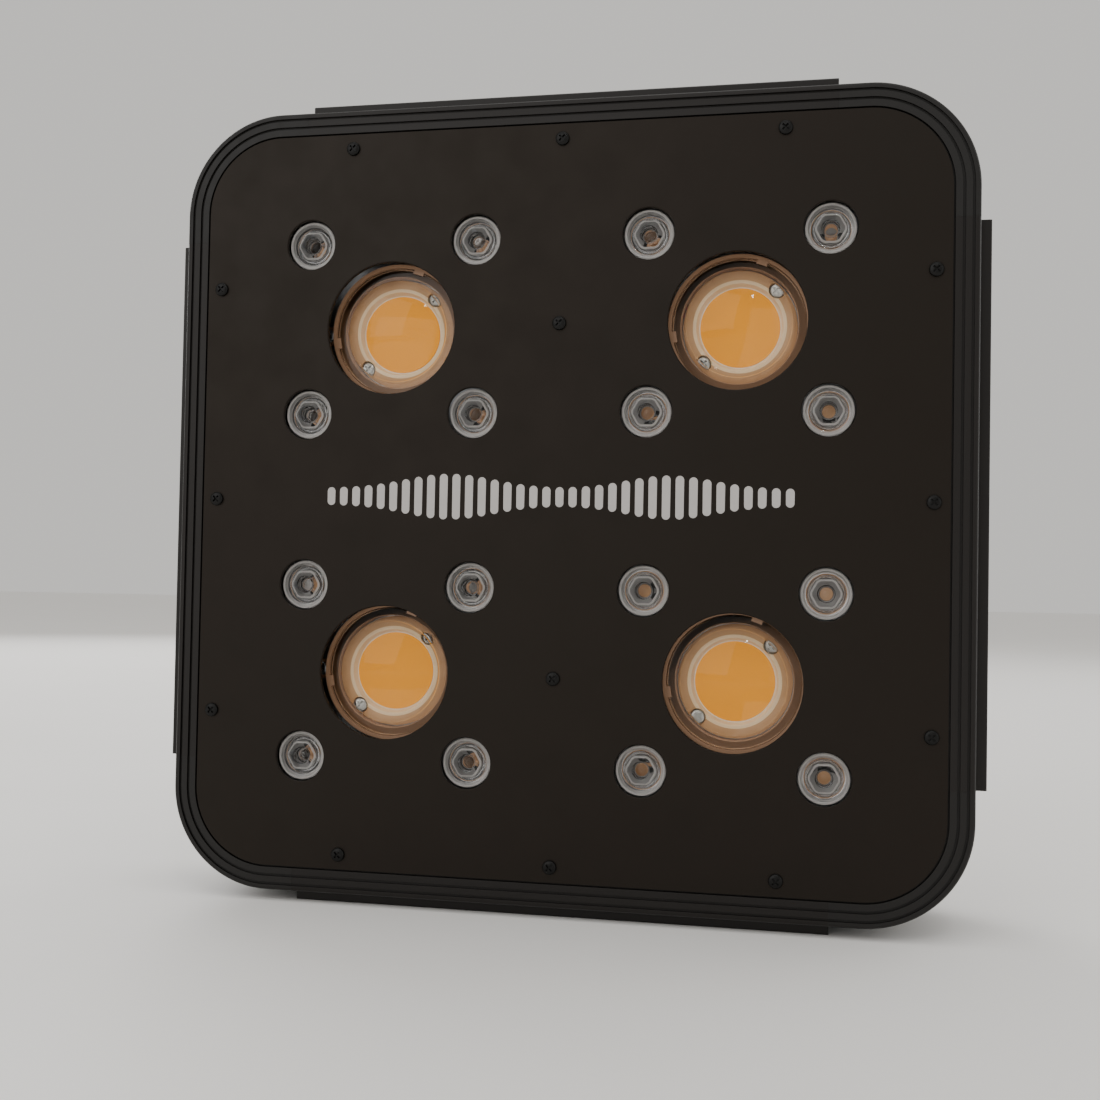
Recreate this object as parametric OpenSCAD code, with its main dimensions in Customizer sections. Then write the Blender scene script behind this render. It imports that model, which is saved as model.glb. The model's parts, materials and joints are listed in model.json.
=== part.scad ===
// Square LED grow light: four chip-on-board lamps behind glass domes, sixteen small lensed
// LEDs, and four fans that cool the heat sinks from behind.
// Every part is drawn looking at the lit face, with X right and Y up, and depths count back
// from the face. stand() then stands the lamp on its lower edge, with the face towards -Y.

/* [Housing] */
// Side of the square face plate
plate_size = 343; // [340:0.5:346]
// Radius of the face plate's corners
plate_corner_r = 35.5; // [33:0.5:38]
// Thickness of the face plate
plate_t = 2; // [1.5:0.1:2.2]
// Depth of the housing from the face to the rear cover's back
housing_depth = 77; // [76:0.5:84]
// Width of the whole rim, flat to flat, without the ribs
rim_size = 366; // [364:0.5:368]
// How far the ribs of the side rails stand out past the rim
rib_reach = 5; // [3:0.5:6]
// Number of ribs on each side rail
rib_count = 9; // [5:1:9]
// Distance from the middle of a side to the seam between rail and corner piece
seam_at = 122.6; // [118:0.2:126]
// Distance of the perimeter screws from the lamp's middle
screw_line = 164.6; // [163:0.2:166]
// Spacing of the three perimeter screws on each side
screw_pitch = 100; // [90:1:104]

/* [LED layout] */
// Distance between the middles of two neighbouring chip-on-board lamps
cob_pitch = 160; // [158:0.5:162]
// Diameter of the openings over the chip-on-board lamps
cob_opening_d = 61.5; // [60.6:0.1:62.4]
// Spacing of the small LEDs, which stand on a square grid
led_pitch = 80; // [78:0.5:80]
// Diameter of the openings over the small LEDs
led_opening_d = 23.4; // [22.8:0.1:23.8]

/* [Lenses] */
// Diameter of the glass lens's flange
lens_flange_d = 60; // [59:0.1:60.2]
// Diameter of the glass lens's dome
lens_dome_d = 50; // [46:0.5:51]
// Depth of the dome's tip behind the face
dome_tip_depth = 3.5; // [3.4:0.1:6]
// Diameter of the glowing phosphor disc
phosphor_d = 31.6; // [29:0.1:32]

/* [Cooling] */
// Side of each heat sink
sink_size = 116; // [112:1:116]
// Number of fins on each heat sink
fin_count = 19; // [13:2:21]
// Side of each fan
fan_size = 92; // [92:92]
// Number of blades on each fan
blade_count = 7; // [5:1:9]

/* [Power and hanging] */
// Distance of each rocker switch from the lamp's middle, across the lamp
switch_x = 12; // [10:0.5:14]
// Distance of the hanging brackets from the lamp's middle, across the lamp
hanger_x = 148; // [144:0.5:150]
// Distance of the hanging brackets from the lamp's middle, up and down the lamp
hanger_y = 140; // [136:0.5:142]
// Radius of the eye in each hanging tab
eye_r = 5; // [4:0.1:5.5]

/* [Hidden] */
$fn = 64;

// The four lamps and the four corners, in reading order as seen from the front
TOP_LEFT = [-1, 1];
TOP_RIGHT = [1, 1];
BOTTOM_LEFT = [-1, -1];
BOTTOM_RIGHT = [1, -1];
QUARTERS = [TOP_LEFT, TOP_RIGHT, BOTTOM_LEFT, BOTTOM_RIGHT];
EDGE = 1;           // how far a cutting shape runs past what it cuts
THREAD_GAP = 0.05;  // between a screw and its thread, all round

// Housing
rim = rim_size / 2;
overall = rim_size + 2 * rib_reach;
corner_mid = plate_size / 2 - plate_corner_r;
lip_in = plate_size / 2 + 0.8;
ledge_in = plate_size / 2 - 14.5;
ledge_t = 3;
edge_break = 0.4;
rim_wall = 2.4;
edge_r = 1.5;
groove_w = 1.2;
groove_depth = 1.2;
grooves_at = [lip_in + 3.6, lip_in + 7.6];
rib_t = 1.6;
rib_first = 7;
rib_pitch = (housing_depth - 2 * rib_first - rib_t) / (rib_count - 1);
cover_t = 1.5;
cover_front = housing_depth - cover_t;
tongue_len = 16.5;
tongue_t = 4;
tongue_root = 8;
tongue_from = 8;
tongue_to = cover_front - 8.5;
tongue_u = rim - rim_wall - 0.2;
joint_screw_depths = [26, tongue_to - 18];
perimeter_screws = [for (side = [0:3]) for (k = [-1:1]) [side * 90, k * screw_pitch]];
centre_screw_y = cob_pitch / 2 + 0.35;
m3_r = 1.5;
m4_r = 2;
m3_hole_r = 1.7;
m4_hole_r = 2.2;
vent_len = 22;
vent_wide_len = 40;
vent_w = 3.5;
vent_pitch = 9;
vent_line = 147;
vent_low = -40;
function head_height(shank_r) = 1.1 * shank_r;

// Lamps and lenses
sink_front = 21.6;
sink_base_t = 4.4;
fin_back = 50;
fin_t = 1.6;
thread_len = 4;
post_inset = 53;
post_r = 4;
post_pocket_r = 6;
nut_t = 3.2;
board_size = 36;
board_t = 1.4;
board_hole_r = 1.8;
screw_pocket_r = 3.4;
phosphor_t = 0.3;
holder_front = 17.4;
holder_r = 25.8;
holder_top_r = 19.4;
holder_slope_back = 19.4;
holder_screw = 14.9;
holder_seat = 19.2;
flange_front = 11;
flange_back = 14;
gasket_back = 15;
bracket_r = 31.8;
bracket_bore_r = 26.2;
foot_t = 3;
dome_height = flange_front - dome_tip_depth;
dome_sphere_r = (pow(lens_dome_d / 2, 2) + pow(dome_height, 2)) / (2 * dome_height);
ear_x = 37;
lead_r = 1;
lead_y = 8;
lead_gap = 1.8;
lead_depth = 19.4;
star_front = 20;
small_flange_r = led_opening_d / 2 - 0.5;
small_front = plate_t + 0.3;
small_flange_t = 2;
small_tail = 17;
small_body_r = 9.3;
small_tail_r = 5.2;
small_pocket_r = 3.4;
small_recess_r = 3.6;
small_bore_r = 9.8;
star_r = 10.5;
emitter_r = 3.8;
emitter_t = 1.4;
emitter_dome_r = 2.7;
led_grid = [for (x = [-1.5:1.5]) for (y = [-1.5:1.5]) [x * led_pitch, y * led_pitch]];

// Fans
fan_front = fin_back + 0.5;
fan_back = cover_front;
duct_r = 43.8;
duct_wall = 1.7;
blade_tip_r = duct_r - 1;
hub_r = 18;
hub_wall = 2;
shaft_r = 1.5;
motor_r = 17;
boss_r = 5;
fan_hole = 41.25;
fan_flange_t = 3.5;
strut_w = 4;
strut_t = 3;
blade_steps = 8;
blade_chord = 21;
blade_rise = 14.5;
blade_t = 1.7;
blade_front = fan_front + 5.5;
guard_wire_r = 0.9;
guard_rings = [12, 20, 28, 36, 44];
guard_eye_half_t = 0.95;
guard_eye_r = 4.4;
guard_eye_hole_r = m4_r + 0.4;
guard_spoke_depth = housing_depth + guard_eye_half_t + 0.05;
guard_ring_depth = guard_spoke_depth + 1.3;
guard_eye_back = guard_spoke_depth + guard_eye_half_t;

// Power
tray_front = 8;
tray_t = 1.5;
tray_foot_r = 4.5;
driver_w = 38;
driver_len = 105;
driver_h = 34;
driver_y = 72;
driver_rib_pitch = 7;
driver_slot_w = 2.5;
driver_slot_depth = 2;
inlet_w = 27;
inlet_h = 31;
inlet_flange_back = housing_depth + 3;
inlet_front = 50;
socket_w = 24.4;
socket_h = 16.6;
socket_y = 5.5;
socket_floor = 63;
drawer_y = -10;
drawer_w = 18;
drawer_h = 7.5;
pins = [[-7, 3.5], [7, 3.5], [0, 8]];
pin_w = 2;
pin_h = 4;
blade_len = 6;
mains_r = 1.3;
mains_depth = inlet_front - 12;
switch_y = 52;
switch_w = 13;
switch_h = 19.2;
switch_depth = 19;
bezel_w = 2.2;
bezel_t = 1.8;
rocker_pocket = [10.6, 17.6];
rocker_w = 10;
rocker_pin_r = 1.2;
rocker_tilt = 10;
rocker_axis_depth = housing_depth - 1;

// Hanging
tab_axis_depth = housing_depth + 5.5;
tab_w = 17;
tab_t = 3;
tab_len = 18;
hanger_pin_r = 2;
hanger_ear_r = 5;
hanger_sheet_t = 1.5;
hanger_base = [23, 20];
hanger_ear_x = hanger_base.x / 2 - hanger_sheet_t / 2;
hanger_pin_len = 24;
knuckle_r = 3.7;
rivet_r = 1.6;
rivet_head_r = 2.4;
rivet_y = 7;

// The screw heads reach furthest forward and the hanging brackets' ears furthest back
mid_depth = (tab_axis_depth + hanger_ear_r - head_height(m3_r)) / 2;

// ---- Ways of placing and shaping ----

// Stands the lamp on its lower edge, with its face towards -Y.
module stand() translate([0, -mid_depth, overall / 2]) rotate([90, 0, 0]) children();

// A flat outline made solid between two depths behind the face.
module slab(front, back) translate([0, 0, -back]) linear_extrude(back - front) children();

// A round bar or hole between two depths.
module disc(r, front, back) translate([0, 0, -back]) cylinder(r = r, h = back - front);

// A ring between two depths.
module ring(r_out, r_in, front, back) difference() {
    disc(r_out, front, back);
    disc(r_in, front - EDGE, back + EDGE);
}

// A block centred on X and Y, between two depths.
module block(w, h, front, back) translate([-w / 2, -h / 2, -back]) cube([w, h, back - front]);

// A square plate with round corners, between two depths.
module rounded_block(size, r, front, back) difference() {
    block(size, size, front, back);
    for (q = QUARTERS) translate([q.x * (size / 2 - r), q.y * (size / 2 - r), 0]) difference() {
        translate([q.x * r, q.y * r, 0]) block(2 * r, 2 * r, front - EDGE, back + EDGE);
        disc(r, front - 2 * EDGE, back + 2 * EDGE);
    }
}

// Puts children at one quarter of the lamp.
module at_quarter(q, dx = cob_pitch / 2, dy = cob_pitch / 2) translate([q.x * dx, q.y * dy, 0]) children();

// Puts children at each perimeter screw, and turns them with the side they are on.
module at_perimeter() for (s = perimeter_screws)
    rotate([0, 0, s[0]]) translate([s[1], screw_line, 0]) children();

// A cross-recessed pan-head screw. Its head's underside is at depth 0 and its shank runs back.
module pan_screw(shank_r, length) {
    head_r = 2.1 * shank_r;
    head_h = head_height(shank_r);
    difference() {
        union() {
            rotate_extrude() polygon([
                [0, 0], [head_r, 0], [head_r, head_h * 0.45],
                for (a = [20:20:80]) [head_r * cos(a * 0.9), head_h * (0.45 + 0.55 * sin(a * 1.1))],
                [0, head_h]
            ]);
            disc(shank_r, -0.1, length);
        }
        for (turn = [45, 135]) rotate([0, 0, turn])
            block(head_r * 1.15, head_r * 0.26, -head_h - EDGE, -head_h * 0.35);
    }
}

// The same screw put in from behind: its head is at the back of the given depth.
module rear_screw(shank_r, length, depth)
    translate([0, 0, -depth]) rotate([180, 0, 0]) pan_screw(shank_r, length);

// ---- Housing ----

// Cross-section of the rim, as distance out from the lamp's middle and minus the depth.
function rim_outline(inset, ribs) = [for (p = concat(
    [[lip_in, 0]],
    [for (g = grooves_at) for (e = [[-1, 0], [-1, 1], [1, 1], [1, 0]])
        [g + e.x * groove_w / 2, -e.y * groove_depth]],
    [for (a = [0:30:90]) [rim - edge_r + edge_r * sin(a), -edge_r + edge_r * cos(a)]],
    [for (k = [0:1:ribs - 1]) for (e = [[0, 0], [0.9, 0], [1, 0.3], [1, 0.7], [0.9, 1], [0, 1]])
        [rim + e.x * rib_reach, -(rib_first + k * rib_pitch + e.y * rib_t)]],
    [for (a = [0:30:90]) [rim - edge_r + edge_r * cos(a), -(housing_depth - edge_r + edge_r * sin(a))]],
    [[lip_in, -housing_depth], [lip_in, -cover_front], [ledge_in, -cover_front],
     [ledge_in, ledge_t - cover_front], [rim - rim_wall, ledge_t - cover_front],
     [rim - rim_wall, -(plate_t + ledge_t)], [ledge_in, -(plate_t + ledge_t)],
     [ledge_in, -plate_t], [lip_in, -plate_t]]
)) [p.x - inset, p.y]];

// A straight stretch of the rim along +X, on the upper side of the lamp.
module rim_run(from, to, ribs) translate([from, 0, 0]) rotate([90, 0, 90])
    linear_extrude(to - from) polygon(rim_outline(0, ribs));

// Threaded holes for the face screws and the rear cover's screws, in the rim's two ledges.
module ledge_threads() at_perimeter() disc(m3_r + THREAD_GAP, -EDGE, housing_depth + EDGE);

// Holes for the screws that join a rail to its corner pieces, on the upper side.
module joint_holes(r, reach) for (side = [-1, 1]) for (d = joint_screw_depths)
    translate([side * (seam_at - tongue_len / 2), tongue_u - tongue_t - EDGE, -d])
        rotate([-90, 0, 0]) cylinder(r = r, h = tongue_t + EDGE + reach);

module side_rail(turn) color("#1a1a1b") stand() difference() {
    rotate([0, 0, turn]) difference() {
        rim_run(-seam_at, seam_at, rib_count);
        joint_holes(m4_r + THREAD_GAP, 2);
    }
    ledge_threads();
}

module rail_top() side_rail(0);
module rail_left() side_rail(90);
module rail_bottom() side_rail(180);
module rail_right() side_rail(270);

// A tongue that reaches into the end of a rail, on the upper side, right of the middle.
module tongue() {
    translate([seam_at - tongue_len, tongue_u - tongue_t, -tongue_to])
        cube([tongue_len + tongue_root, tongue_t, tongue_to - tongue_from]);
    translate([seam_at + 0.2, tongue_u - EDGE, -tongue_to])
        cube([tongue_root - 0.2, 2 * EDGE, tongue_to - tongue_from]);
}

module corner_piece(turn) color("#161617") stand() rotate([0, 0, turn]) difference() {
    union() {
        translate([corner_mid, corner_mid, 0]) rotate_extrude(angle = 90) polygon(rim_outline(corner_mid, 0));
        rim_run(seam_at, corner_mid, 0);
        rotate([0, 0, -90]) rim_run(-corner_mid, -seam_at, 0);
        tongue();
        rotate([0, 0, -90]) mirror([1, 0, 0]) tongue();
    }
    joint_holes(m4_hole_r, EDGE);
    rotate([0, 0, -90]) joint_holes(m4_hole_r, EDGE);
}

module corner_top_right() corner_piece(0);
module corner_top_left() corner_piece(90);
module corner_bottom_left() corner_piece(180);
module corner_bottom_right() corner_piece(270);

// Screws inside the housing, through each tongue and into the rail's wall.
module corner_screws() color("#8d8f92") stand() for (turn = [0:90:270]) rotate([0, 0, turn])
    for (side = [-1, 1]) for (d = joint_screw_depths)
        translate([side * (seam_at - tongue_len / 2), tongue_u - tongue_t, -d])
            rotate([90, 0, 0]) pan_screw(m4_r, tongue_t + 2);

// A round opening through the face plate, with its front edge broken.
module opening(r) {
    disc(r, -EDGE, plate_t + EDGE);
    translate([0, 0, -edge_break]) cylinder(r1 = r, r2 = r + 2 * edge_break, h = 2 * edge_break);
}

module face_plate() color("#1d1b1a") stand() difference() {
    rounded_block(plate_size, plate_corner_r, 0, plate_t);
    for (q = QUARTERS) at_quarter(q) opening(cob_opening_d / 2);
    for (p = led_grid) translate(p) opening(led_opening_d / 2);
    at_perimeter() disc(m3_hole_r, -EDGE, plate_t + EDGE);
    for (s = [-1, 1]) translate([0, s * centre_screw_y, 0]) disc(m3_hole_r, -EDGE, plate_t + EDGE);
}

module face_screws() color("#101010") stand() {
    at_perimeter() pan_screw(m3_r, 6);
    for (s = [-1, 1]) translate([0, s * centre_screw_y, 0]) pan_screw(m3_r, 7);
}

// A vent slot with round ends, between two depths.
module vent(length, width) {
    block(length - width, width, cover_front - EDGE, housing_depth + EDGE);
    for (s = [-1, 1]) translate([s * (length - width) / 2, 0, 0])
        disc(width / 2, cover_front - EDGE, housing_depth + EDGE);
}

module rear_cover() color("#1d1b1a") stand() difference() {
    rounded_block(plate_size, plate_corner_r, cover_front, housing_depth);
    for (q = QUARTERS) at_quarter(q) {
        disc(duct_r, cover_front - EDGE, housing_depth + EDGE);
        for (h = QUARTERS) at_quarter(h, fan_hole, fan_hole)
            disc(m4_hole_r, cover_front - EDGE, housing_depth + EDGE);
    }
    at_perimeter() disc(m3_hole_r, cover_front - EDGE, housing_depth + EDGE);
    for (side = [-1, 1]) for (k = [-4:4]) {
        translate([side * vent_line, k * vent_pitch, 0]) vent(vent_len, vent_w);
        translate([k * vent_pitch, side * vent_line, 0]) rotate([0, 0, 90]) vent(vent_len, vent_w);
    }
    for (k = [0:3]) translate([0, vent_low - k * vent_pitch, 0]) vent(vent_wide_len, vent_w);
    block(inlet_w + 0.4, inlet_h + 0.4, cover_front - EDGE, housing_depth + EDGE);
    for (s = [-1, 1]) translate([s * switch_x, switch_y, 0])
        block(switch_w + 0.3, switch_h + 0.3, cover_front - EDGE, housing_depth + EDGE);
    for (q = QUARTERS) at_quarter(q, hanger_x, hanger_y) for (s = [-1, 1]) translate([0, rivet_y * s, 0])
        disc(rivet_r + THREAD_GAP, cover_front - EDGE, housing_depth + EDGE);
}

module rear_cover_screws() color("#101010") stand() at_perimeter() rear_screw(m3_r, 4, housing_depth);

// ---- Lamps ----

// Comb-shaped cross-section of an extruded heat sink, as X and minus the depth.
fin_pitch = (sink_size - fin_t) / (fin_count - 1);
function comb() = let (base = -(sink_front + sink_base_t)) concat(
    [[-sink_size / 2, -sink_front], [-sink_size / 2, -fin_back]],
    [for (k = [0:fin_count - 2]) let (x = -sink_size / 2 + k * fin_pitch)
        each [[x + fin_t, -fin_back], [x + fin_t, base], [x + fin_pitch, base], [x + fin_pitch, -fin_back]]],
    [[sink_size / 2, -fin_back], [sink_size / 2, -sink_front]]);

// A threaded hole in a heat sink's base, for an M3 screw.
module sink_thread() disc(m3_r + THREAD_GAP, sink_front - EDGE, sink_front + thread_len);

module heat_sink(q) color("#c3c5c8") stand() at_quarter(q) difference() {
    rotate([90, 0, 0]) translate([0, 0, -sink_size / 2]) linear_extrude(sink_size) polygon(comb());
    for (p = QUARTERS) at_quarter(p, post_inset, post_inset) {
        disc(m4_hole_r, sink_front - EDGE, fin_back);
        disc(post_pocket_r, sink_front + sink_base_t, fin_back + EDGE);
    }
    for (s = [-1, 1]) {
        translate([s * holder_screw, s * holder_screw, 0]) sink_thread();
        translate([s * ear_x, 0, 0]) sink_thread();
    }
}

module heat_sink_top_left() heat_sink(TOP_LEFT);
module heat_sink_top_right() heat_sink(TOP_RIGHT);
module heat_sink_bottom_left() heat_sink(BOTTOM_LEFT);
module heat_sink_bottom_right() heat_sink(BOTTOM_RIGHT);

// Puts children at the four posts behind each lamp.
module at_posts() for (q = QUARTERS) at_quarter(q)
    for (p = QUARTERS) at_quarter(p, post_inset, post_inset) children();

module heat_sink_posts() color("#b9bbbe") stand() at_posts() {
    slab(plate_t, sink_front) circle(r = post_r, $fn = 6);
    disc(m4_r, sink_front - 0.1, sink_front + sink_base_t + 6);
}

module heat_sink_nuts() color("#b9bbbe") stand() at_posts() difference() {
    slab(sink_front + sink_base_t, sink_front + sink_base_t + nut_t) circle(r = post_r, $fn = 6);
    disc(m4_r + THREAD_GAP, sink_front, fin_back);
}

module cob_boards() color("#e6e4dc") stand() for (q = QUARTERS) at_quarter(q) difference() {
    block(board_size, board_size, sink_front - board_t, sink_front);
    for (s = [-1, 1]) translate([s * holder_screw, s * holder_screw, 0])
        disc(board_hole_r, holder_front, sink_front + EDGE);
}

module cob_phosphors() color("#ffb01a") stand() for (q = QUARTERS) at_quarter(q)
    disc(phosphor_d / 2, sink_front - board_t - phosphor_t, sink_front - board_t);

module cob_holders() color("#ece6da") stand() for (q = QUARTERS) at_quarter(q) difference() {
    union() {
        disc(holder_r, holder_slope_back, sink_front);
        translate([0, 0, -holder_slope_back])
            cylinder(r1 = holder_r, r2 = holder_top_r, h = holder_slope_back - holder_front);
    }
    block(board_size + 0.4, board_size + 0.4, sink_front - board_t, sink_front + EDGE);
    translate([0, 0, -(sink_front - board_t)])
        cylinder(r1 = phosphor_d / 2 + 0.4, r2 = phosphor_d / 2 + 2.1,
                 h = sink_front - board_t - holder_front + 0.01);
    for (s = [-1, 1]) translate([s * holder_screw, s * holder_screw, 0]) {
        disc(board_hole_r, holder_front - EDGE, sink_front + EDGE);
        disc(screw_pocket_r, holder_front - EDGE, holder_seat);
    }
}

module lens_brackets() color("#8f7058") stand() for (q = QUARTERS) at_quarter(q) difference() {
    union() {
        ring(bracket_r, lens_flange_d / 2 + 0.2, flange_front - 1, sink_front);
        ring(lens_flange_d / 2 + 0.5, bracket_bore_r, gasket_back, sink_front);
        for (turn = [70, 190, 310]) rotate([0, 0, turn]) intersection() {
            ring(bracket_r, lens_flange_d / 2 - 1.6, flange_front - 1, flange_front);
            translate([lens_flange_d / 2, 0, 0]) block(8, 5, flange_front - 2, flange_front + EDGE);
        }
        for (s = [-1, 1]) translate([s * (ear_x - 2), 0, 0]) block(12, 9, sink_front - foot_t, sink_front);
    }
    disc(bracket_bore_r, 0, sink_front + EDGE);
    translate([-q.x * bracket_r, lead_y, 0]) block(18, 7, lead_depth - 1.6, lead_depth + 1.6);
    for (s = [-1, 1]) translate([s * ear_x, 0, 0])
        disc(m3_hole_r, sink_front - foot_t - EDGE, sink_front + EDGE);
}

module light_engine_screws() color("#a9abae") stand() for (q = QUARTERS) at_quarter(q) for (s = [-1, 1]) {
    translate([s * holder_screw, s * holder_screw, -holder_seat]) pan_screw(m3_r, 6);
    translate([s * ear_x, 0, -(sink_front - foot_t)]) pan_screw(m3_r, 6);
}

module lens_gaskets() color("#b99474") stand() for (q = QUARTERS) at_quarter(q)
    ring(lens_flange_d / 2 - 0.1, bracket_bore_r + 0.2, flange_back, gasket_back);

module cob_lens(q) color([0.95, 0.93, 0.88, 0.4]) stand() at_quarter(q) {
    disc(lens_flange_d / 2, flange_front, flange_back);
    intersection() {
        translate([0, 0, -(dome_tip_depth + dome_sphere_r)]) sphere(r = dome_sphere_r);
        disc(lens_dome_d / 2, 0, flange_front + 0.1);
    }
}

module cob_lens_top_left() cob_lens(TOP_LEFT);
module cob_lens_top_right() cob_lens(TOP_RIGHT);
module cob_lens_bottom_left() cob_lens(BOTTOM_LEFT);
module cob_lens_bottom_right() cob_lens(BOTTOM_RIGHT);

// ---- Small LEDs ----

module star_boards() color("#dfe2e4") stand() for (p = led_grid) translate(p) difference() {
    slab(star_front, sink_front) circle(r = star_r, $fn = 6);
    for (turn = [0:60:300]) rotate([0, 0, turn]) translate([10, 0, 0])
        disc(1.7, star_front - EDGE, sink_front + EDGE);
}

module led_emitters() color("#e9a23c") stand() for (p = led_grid) translate(p) {
    disc(emitter_r, star_front - emitter_t, star_front);
    intersection() {
        translate([0, 0, -(star_front - emitter_t)]) sphere(r = emitter_dome_r);
        disc(emitter_r, star_front - 5, star_front - emitter_t + 0.1);
    }
}

module small_lens_holders() color("#19191a") stand() for (p = led_grid) translate(p)
    ring(small_flange_r, small_bore_r, small_front + small_flange_t, star_front);

module small_lenses() color([0.95, 0.95, 0.95, 0.4]) stand() for (p = led_grid) translate(p) difference() {
    union() {
        disc(small_flange_r, small_front, small_front + small_flange_t);
        translate([0, 0, -small_tail])
            cylinder(r1 = small_tail_r, r2 = small_body_r,
                     h = small_tail - small_front - small_flange_t + 0.1);
    }
    disc(small_pocket_r, small_tail - 4.5, small_tail + EDGE);
    disc(small_recess_r, small_front - EDGE, small_front + 4.5);
}

// ---- Fans ----

module fan_frame(q) color("#1b1b1c") stand() at_quarter(q) difference() {
    union() {
        rounded_block(fan_size, 5, fan_front, fan_front + fan_flange_t);
        rounded_block(fan_size, 5, fan_back - fan_flange_t, fan_back);
        disc(duct_r + duct_wall, fan_front, fan_back);
    }
    difference() {
        disc(duct_r, fan_front - EDGE, fan_back + EDGE);
        disc(motor_r, fan_front, fan_front + 4);
        disc(boss_r, fan_front, fan_front + 15);
        for (turn = [45, 135]) rotate([0, 0, turn])
            block(2 * duct_r + 1, strut_w, fan_front, fan_front + strut_t);
    }
    disc(shaft_r + 0.06, fan_front + EDGE, fan_back);
    for (h = QUARTERS) at_quarter(h, fan_hole, fan_hole) disc(m4_hole_r, fan_front - EDGE, fan_back + EDGE);
}

module fan_frame_top_left() fan_frame(TOP_LEFT);
module fan_frame_top_right() fan_frame(TOP_RIGHT);
module fan_frame_bottom_left() fan_frame(BOTTOM_LEFT);
module fan_frame_bottom_right() fan_frame(BOTTOM_RIGHT);

// Curved cross-section of a fan blade, as distance round the hub and minus the depth.
function blade_line(s, lift) =
    [blade_chord * (s - 0.5), -(blade_front + blade_rise * (s + 0.5 * s * (1 - s)) + lift)];
function blade_outline() = concat(
    [for (k = [0:blade_steps]) blade_line(k / blade_steps, 0)],
    [for (k = [blade_steps:-1:0]) blade_line(k / blade_steps, blade_t)]);

module fan_rotor(q) color("#232324") stand() at_quarter(q) {
    difference() {
        disc(hub_r, fan_front + 5, fan_back - 3);
        disc(hub_r - hub_wall, fan_front, fan_back - 4.6);
    }
    disc(shaft_r, fan_front + 2.5, fan_back - 4);
    intersection() {
        ring(blade_tip_r, hub_r - 1, fan_front, fan_back);
        for (k = [0:blade_count - 1]) rotate([0, 0, k * 360 / blade_count]) rotate([90, 0, 90])
            linear_extrude(blade_tip_r + 2) polygon(blade_outline());
    }
}

module fan_rotor_top_left() fan_rotor(TOP_LEFT);
module fan_rotor_top_right() fan_rotor(TOP_RIGHT);
module fan_rotor_bottom_left() fan_rotor(BOTTOM_LEFT);
module fan_rotor_bottom_right() fan_rotor(BOTTOM_RIGHT);

module fan_guards() color("#9a9ca0") stand() for (q = QUARTERS) at_quarter(q) {
    for (r = guard_rings)
        ring(r + guard_wire_r, r - guard_wire_r,
             guard_ring_depth - guard_wire_r, guard_ring_depth + guard_wire_r);
    for (turn = [45:90:315]) rotate([0, 0, turn]) {
        translate([guard_rings[0] - 1, 0, -guard_spoke_depth]) rotate([0, 90, 0])
            cylinder(r = guard_wire_r, h = fan_hole * sqrt(2) - 3.2 - guard_rings[0] + 1);
        translate([fan_hole * sqrt(2), 0, 0])
            ring(guard_eye_r, guard_eye_hole_r, guard_spoke_depth - guard_eye_half_t, guard_eye_back);
    }
}

module fan_screws() color("#b4b6b9") stand() for (q = QUARTERS) at_quarter(q)
    for (h = QUARTERS) at_quarter(h, fan_hole, fan_hole) rear_screw(m4_r, 10, guard_eye_back);

// ---- Power ----

module driver_tray() color("#b0b2b5") stand() difference() {
    union() {
        block(driver_w + 2, 2 * (driver_y + driver_len / 2) + 8, tray_front, tray_front + tray_t);
        for (s = [-1, 1]) translate([0, s * centre_screw_y, 0]) disc(tray_foot_r, plate_t, tray_front + 0.1);
    }
    for (s = [-1, 1]) translate([0, s * centre_screw_y, 0])
        disc(m3_r + THREAD_GAP, 0, tray_front + tray_t + EDGE);
}

// A potted LED driver in an aluminium case with a ribbed back.
module driver(side) color("#c9cbce") stand() translate([0, side * driver_y, 0]) difference() {
    block(driver_w, driver_len, tray_front + tray_t, tray_front + tray_t + driver_h);
    for (k = [-2:2]) translate([k * driver_rib_pitch, 0, -(tray_front + tray_t + driver_h)])
        block(driver_slot_w, driver_len + EDGE, -driver_slot_depth, EDGE);
}

module driver_upper() driver(1);
module driver_lower() driver(-1);

// Pairs of leads from the drivers to the lamps, and leads from the inlet to the drivers.
function lead_length(y) = (cob_pitch - driver_w) / 2 - sqrt(pow(holder_r, 2) - pow(y - lead_r, 2)) - 0.1;
module wiring() color("#b3261e") stand() {
    for (q = QUARTERS) for (s = [-1, 1])
        translate([q.x * driver_w / 2, q.y * cob_pitch / 2 + lead_y + s * lead_gap, -lead_depth])
            rotate([0, 90 * q.x, 0]) cylinder(r = lead_r, h = lead_length(lead_y + s * lead_gap), $fn = 24);
    for (k = [0, 1]) let (pin = pins[k], s = sign(pin.x)) translate([pin.x, pin.y, 0]) {
        disc(mains_r, mains_depth, inlet_front - blade_len);
        translate([0, 0, -mains_depth]) sphere(r = mains_r, $fn = 24);
        translate([0, 0, -mains_depth]) rotate([-90 * s, 0, 0])
            cylinder(r = mains_r, h = driver_y - driver_len / 2 - s * pin.y, $fn = 24);
    }
}

module power_inlet() color("#141415") stand() difference() {
    union() {
        block(inlet_w, inlet_h, inlet_front, inlet_flange_back);
        block(inlet_w + 7, inlet_h + 5, housing_depth, inlet_flange_back);
    }
    translate([0, socket_y, 0]) block(socket_w, socket_h, socket_floor, inlet_flange_back + EDGE);
    translate([0, drawer_y, 0])
        block(drawer_w + 0.8, drawer_h + 0.8, inlet_front + 4, inlet_flange_back + EDGE);
}

module inlet_contacts() color("#c9b27a") stand() {
    for (p = pins) translate(p) {
        block(pin_w, pin_h, socket_floor, inlet_flange_back - 1.5);
        block(0.8, 6.3, inlet_front - blade_len, inlet_front);
    }
}

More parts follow.
